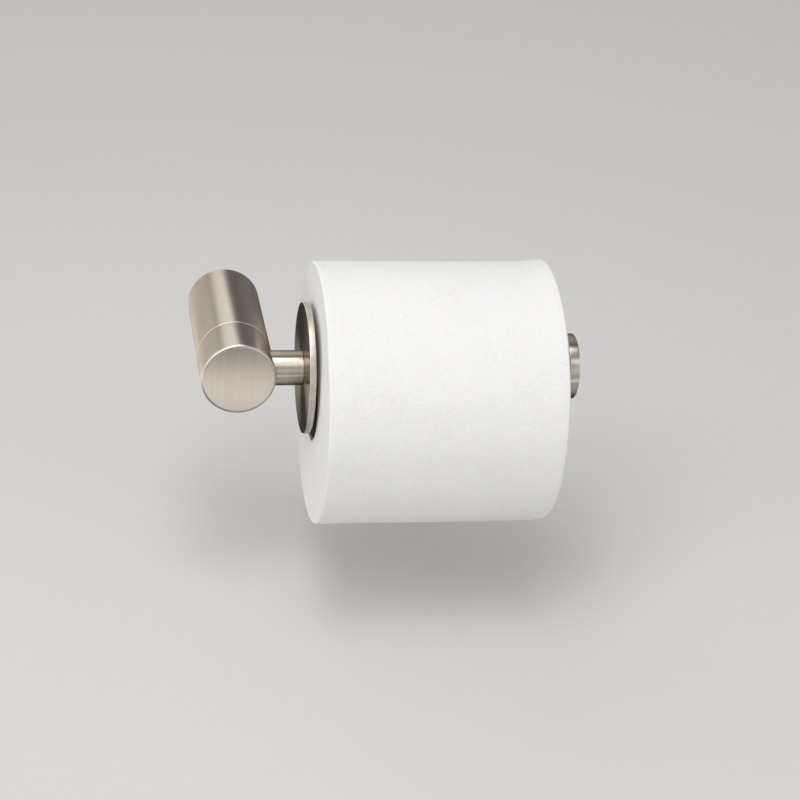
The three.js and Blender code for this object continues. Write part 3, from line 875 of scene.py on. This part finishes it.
def build_arm():
    """Stub, disc, bar, plugs, studs and knob."""
    build_stub()
    disc = tube("guide_disc_fine", STUD_BORE, radius_of("guide_disc"), *along_arm("guide_disc"), 0.3 * MM)
    stand_in(disc, "guide_disc", ON_ARM, turned_face, edge_nickel, satin_nickel)
    polish_edges(disc, 1)
    finish_rim(disc, 2)
    bar = tube("roll_bar_fine", BAR_BORE, radius_of("roll_bar"), *along_arm("roll_bar"), 0.15 * MM)
    stand_in(bar, "roll_bar", ON_ARM, turned_nickel)
    for node in ("bar_inner_plug", "bar_outer_plug"):
        plug = tube(node + "_fine", STUD_BORE, radius_of(node), *along_arm(node), 0.3 * MM, BORE_SIDES)
        stand_in(plug, node, ON_ARM, plated_steel)
    step = THREAD_PITCH / STEPS_PER_PITCH
    for node in ("disc_stud", "knob_stud"):
        start, end = along_arm(node)
        stud = rod(node + "_fine", THREAD_RADIUS, start, end, 0.4 * MM, THREAD_SIDES, step)
        thread(stud, start, end, THREAD_PITCH, THREAD_DEPTH)
        stand_in(stud, node, ON_ARM, plated_steel)
    build_knob()


# ---- The roll ----

ROLL_FILLET = 1.0 * MM
LAYER_STEP = 0.6 * MM  # between the rings of the winding's ends
SIDE_STEP = 2.5 * MM
UNEVEN_SIDE = 0.22 * MM
SIDE_WAVES = 28  # per metre
UNEVEN_END = 0.35 * MM
END_WAVES = 40  # per metre
LAYER_PLAY = 0.04 * MM  # how far a layer stands out of the end
AT_END = 1e-7  # closer to an end of the smooth ring than this is on it
FLARE = 1.1 * MM  # the outer end's top edge stands up by this
FLARE_LENGTH = 17 * MM
TUCK = 1.2 * MM  # its bottom edge is rounded by this
TUCK_LENGTH = 7 * MM
LEAN = 0.3 * MM  # the end by the disc stands out by this
BULGE = 0.35 * MM  # and its innermost layer by this much more
LEAN_LENGTH = 12 * MM
SEED = 11


def plain_winding(inner, outer, start, end):
    """A smooth ring: fine steps across both ends, longer ones along the side and the bore."""
    corners = [(inner, start, 0), (outer, start, ROLL_FILLET), (outer, end, ROLL_FILLET), (inner, end, 0)]
    points = split_long(rounded(corners, closed=True), SIDE_STEP, True, LAYER_STEP)
    return revolve("paper_roll_fine", points, ROLL_SIDES, closed=True)


def side_wave(x, y, h, end):
    """How far the winding's side stands out at this place: a little uneven, soft at its outer end."""
    up = y / math.hypot(x, y)
    flare = FLARE * max(0, up) * max(0, (h - end) / FLARE_LENGTH + 1) ** 2
    tuck = TUCK * max(0, -up) * max(0, (h - end) / TUCK_LENGTH + 1) ** 2
    return noise.noise(Vector((x, y, h)) * SIDE_WAVES) * UNEVEN_SIDE + flare - tuck


def shape_winding(piece, inner, outer, start, end):
    """Makes the smooth ring a real winding: uneven layers at its ends and a side not quite round."""
    draw = random.Random(SEED)
    layers = 2 + math.ceil((outer - inner) / LAYER_STEP)
    play = [draw.uniform(-1, 1) * LAYER_PLAY for _ in range(layers)]
    for vertex in piece.data.vertices:
        x, y, h = vertex.co
        radius = math.hypot(x, y)
        side = (radius - inner) / (outer - inner)
        factor = 1 + side * side_wave(x, y, h, end) / radius
        lean = (LEAN + BULGE * (1 - side)) * max(0, 1 - (h - start) / LEAN_LENGTH)
        if min(h - start, end - h) < AT_END:
            outward = 1 if h > (start + end) / 2 else -1
            swell = noise.noise(Vector((x * END_WAVES, y * END_WAVES, outward * 3))) * UNEVEN_END
            h += outward * (swell - UNEVEN_END / 2 + play[round((radius - inner) / LAYER_STEP)])
        vertex.co = (x * factor, y * factor, h - lean)


TAIL_START = math.radians(-75)  # under the roll
TAIL_END = math.radians(-12)  # on its back
TAIL_ROWS = 40
TAIL_RISE = 6  # the sheet has risen out of the winding after one part in so many of its length
TAIL_LIFT = 1.3 * MM  # the torn edge stands off by this
LIFT_PLAY = 0.35  # and by up to this part more or less
LIFT_WAVES = 30  # per metre
PLY = 0.22 * MM
TOOTH = 0.5 * MM  # half the height of the teeth along the torn edge
TOOTH_PITCH = 2 * MM


def build_tail(outer, start, end):
    """The loose last sheet on the back of the winding, with a torn perforated edge."""
    mesh = bmesh.new()
    columns = 2 * round((end - start) / TOOTH_PITCH)
    length = end - start - 2 * ROLL_FILLET
    rows = []
    for i in range(TAIL_ROWS + 1):
        along = i / TAIL_ROWS
        row = []
        for k in range(columns + 1):
            across = start + ROLL_FILLET + length * k / columns
            tooth = TOOTH * (1 if k % 2 else -1) * (i == TAIL_ROWS)
            angle = TAIL_START + (TAIL_END - TAIL_START) * along + tooth / outer
            ripple = noise.noise(Vector((across * LIFT_WAVES, 0.5, 0)))
            lift = TAIL_LIFT * along ** 3 * (1 + LIFT_PLAY * ripple)
            sunk = PLY * max(0, 1 - along * TAIL_RISE)
            on_side = (outer * math.cos(angle), outer * math.sin(angle), across)
            radius = outer + side_wave(*on_side, end) + PLY * 0.5 + lift - sunk
            row.append(mesh.verts.new((radius * math.cos(angle), radius * math.sin(angle), across)))
        rows.append(row)
    for lower, upper in neighbours(rows, closed=False):
        for k in range(columns):
            mesh.faces.new((lower[k], lower[k + 1], upper[k + 1], upper[k]))
    mesh.normal_update()
    bmesh.ops.solidify(mesh, geom=mesh.faces[:], thickness=PLY)
    piece = to_object("paper_tail", mesh)
    place(piece, "paper_roll", ON_ROLL, [paper_side])


def build_roll():
    """The cardboard core, the winding on it and its loose last sheet."""
    start, end = along_arm("cardboard_core")
    core_radius = radius_of("cardboard_core")
    core = tube("cardboard_core_fine", CORE_BORE, core_radius, start, end, 0.2 * MM, ROLL_SIDES, SIDE_STEP)
    stand_in(core, "cardboard_core", ON_ROLL, grey_board)
    inner = core_radius + FIT
    outer = radius_of("paper_roll")
    piece = plain_winding(inner, outer, start, end)
    middles = [face.center.z for face in piece.data.polygons]
    ends = [min(h - start, end - h) < 0.3 * ROLL_FILLET for h in middles]
    shape_winding(piece, inner, outer, start, end)
    stand_in(piece, "paper_roll", ON_ROLL, paper_side, paper_end)
    for face, at_end in zip(piece.data.polygons, ends):
        face.material_index = int(at_end)
    build_tail(outer, start, end)


build_bracket()
for screw in ("mounting_screw_left", "mounting_screw_right"):
    build_mounting_screw(screw)
build_set_screws()
build_pivot()
build_sleeve()
build_head()
build_arm()
build_roll()


# ---- Camera, floor and light ----

CAMERA_AT = (-0.08124, -0.86857, 0.38347)
YAW, PITCH, ROLL = math.radians(10.84), math.radians(-26.16), math.radians(4.28)
LENS, SENSOR = 93.76, 36  # millimetres
FLOOR_SIZE = 40
FLOOR_DROP = 30 * MM  # from the object's lowest point
DOME_RADIUS = 5
DOME_GLOW = 0.55
PALE = (0.62, 0.61, 0.6, 1)


def place_camera():
    """Stands where the photograph was taken from."""
    data = bpy.data.cameras.new("camera")
    data.lens = LENS
    data.sensor_width = SENSOR
    data.clip_start = 0.01
    camera = bpy.data.objects.new("camera", data)
    bpy.context.scene.collection.objects.link(camera)
    ahead = Vector((math.sin(YAW) * math.cos(PITCH), math.cos(YAW) * math.cos(PITCH), math.sin(PITCH)))
    right = Vector((math.cos(YAW), -math.sin(YAW), 0))
    up = right.cross(ahead)
    level = Matrix((right, up, -ahead)).transposed().to_4x4()
    camera.matrix_world = Matrix.Translation(CAMERA_AT) @ level @ Matrix.Rotation(ROLL, 4, "Z")
    bpy.context.scene.camera = camera


def place_floor():
    """A plain pale floor, which the metal doesn't mirror."""
    bpy.ops.mesh.primitive_plane_add(size=FLOOR_SIZE, location=(0, 0, cad_box[0][2] - FLOOR_DROP))
    floor = bpy.context.object
    floor.name = "floor"
    material, _, shader = blank("floor")
    shader.inputs["Base Color"].default_value = PALE
    shader.inputs["Roughness"].default_value = 0.9
    floor.data.materials.append(material)
    floor.visible_glossy = False


def place_backdrop():
    """A plain pale dome far round the stage. Only the camera sees it, so it blocks no light."""
    bpy.ops.mesh.primitive_uv_sphere_add(segments=64, ring_count=32, radius=DOME_RADIUS)
    dome = bpy.context.object
    dome.name = "backdrop"
    material, tree, _ = blank("backdrop")
    glow = add(tree, "ShaderNodeEmission", {"Color": PALE, "Strength": DOME_GLOW})
    tree.links.new(glow.outputs["Emission"], tree.nodes["Material Output"].inputs["Surface"])
    dome.data.materials.append(material)
    for ray in ("diffuse", "glossy", "transmission", "shadow"):
        setattr(dome, "visible_" + ray, False)


def softbox(name, place_at, aim_at, size, power):
    """A soft rectangular light that the camera doesn't see."""
    data = bpy.data.lights.new(name, "AREA")
    data.shape = "RECTANGLE"
    data.size, data.size_y = size
    data.energy = power
    light = bpy.data.objects.new(name, data)
    bpy.context.scene.collection.objects.link(light)
    light.location = place_at
    light.rotation_euler = (Vector(aim_at) - Vector(place_at)).to_track_quat("-Z", "Y").to_euler()
    light.visible_camera = False
    return light


def light_floor():
    """Lifts the far floor to an even pale tone, and lights nothing else."""
    light = softbox("floor_light", (0.3, 1.2, 2.2), aim_at=(0.3, 1.2, 0), size=(4, 4), power=25)
    lit = bpy.data.collections.new("lit_by_floor_light")
    lit.objects.link(bpy.data.objects["floor"])
    light.light_linking.receiver_collection = lit
    light.visible_glossy = False


ROOM_LEVEL = 0.09
ROOM_COLOR = (1.0, 0.99, 0.975, 1)
ALONG_POST, ALONG_ROLL, COMPACT = (1, 0, 1), (0, 1, 1), (1, 1, 1)  # the axes that a glow's angle counts
AHEAD, BEHIND = "ahead", "behind"
ROOM_GLOWS = (  # where, shape, direction, degrees fully bright, degrees where it has faded, strength
    (AHEAD, ALONG_ROLL, (0, -0.96, -0.27), 38, 92, 0.26),  # pale room in front
    (AHEAD, ALONG_ROLL, (0, -0.87, -0.49), 1, 8, 0.6),  # long low card in front
    (AHEAD, ALONG_ROLL, (0, -0.5, -0.87), 12, 45, 0.12),  # pale floor in front
    (AHEAD, ALONG_ROLL, (0, -0.74, 0.67), 4, 11, 0.75),  # long high window in front
    (AHEAD, ALONG_ROLL, (0, -0.98, 0.17), 1, 5, 0.25),  # its sill
    (AHEAD, COMPACT, (-0.72, -0.6, 0.35), 14, 34, 0.5),  # window in front, on the left
    (AHEAD, COMPACT, (0.72, -0.6, 0.35), 14, 34, 0.4),  # window in front, on the right
    (AHEAD, ALONG_POST, (-1, 0, 0.1), 25, 62, 0.5),  # pale room on the left
    (AHEAD, ALONG_POST, (1, 0, 0.1), 25, 60, 0.25),  # dimmer room on the right
    (BEHIND, ALONG_POST, (-1, 0, 0.05), 35, 60, 0.62),  # pale wall on the left
    (BEHIND, ALONG_POST, (-0.24, 0, 0.97), 10, 28, 1.15),  # strip above
    (BEHIND, ALONG_POST, (-0.8, 0, -0.6), 6, 22, 1.5),  # low strip on the left
    (BEHIND, ALONG_POST, (0.9, 0, 0.45), 20, 60, 0.14),  # dim wall on the right
)


def studio_world():
    """Soft glows of the room round the object, over a low even level. A long one leaves an axis out."""
    world = bpy.data.worlds.new("studio")
    bpy.context.scene.world = world
    world.use_nodes = True
    tree = world.node_tree
    direction = add(tree, "ShaderNodeTexCoord").outputs["Generated"]
    depth = add(tree, "ShaderNodeSeparateXYZ", {"Vector": direction}).outputs["Y"]
    kept = {
        AHEAD: ramp(tree, depth, 1, 0, 0.1, 0.9),
        BEHIND: ramp(tree, depth, 0, 1, 0.2, 0.7),
    }
    total = ROOM_LEVEL
    for where, shape, towards, bright, faded, strength in ROOM_GLOWS:
        flat = add(tree, "ShaderNodeVectorMath", {0: direction, 1: shape}, operation="MULTIPLY")
        unit = add(tree, "ShaderNodeVectorMath", {0: flat.outputs[0]}, operation="NORMALIZE")
        lined_up = add(tree, "ShaderNodeVectorMath", {
            0: unit.outputs[0], 1: Vector(towards).normalized()}, operation="DOT_PRODUCT")
        glow = add(tree, "ShaderNodeMapRange", {
            "Value": lined_up.outputs["Value"], "From Min": math.cos(math.radians(faded)),
            "From Max": math.cos(math.radians(bright)), "To Min": 0.0, "To Max": strength,
        }, interpolation_type="SMOOTHSTEP")
        total = math_node(tree, "MULTIPLY_ADD", glow.outputs["Result"], kept[where], total)
    tree.links.new(total, tree.nodes["Background"].inputs["Strength"])
    tree.nodes["Background"].inputs["Color"].default_value = ROOM_COLOR


place_camera()
place_floor()
place_backdrop()
studio_world()
softbox("key", (-0.15, -0.34, 0.85), aim_at=middle_of("paper_roll"), size=(0.42, 0.9), power=4.8)
light_floor()
bpy.context.scene.view_settings.view_transform = "Standard"
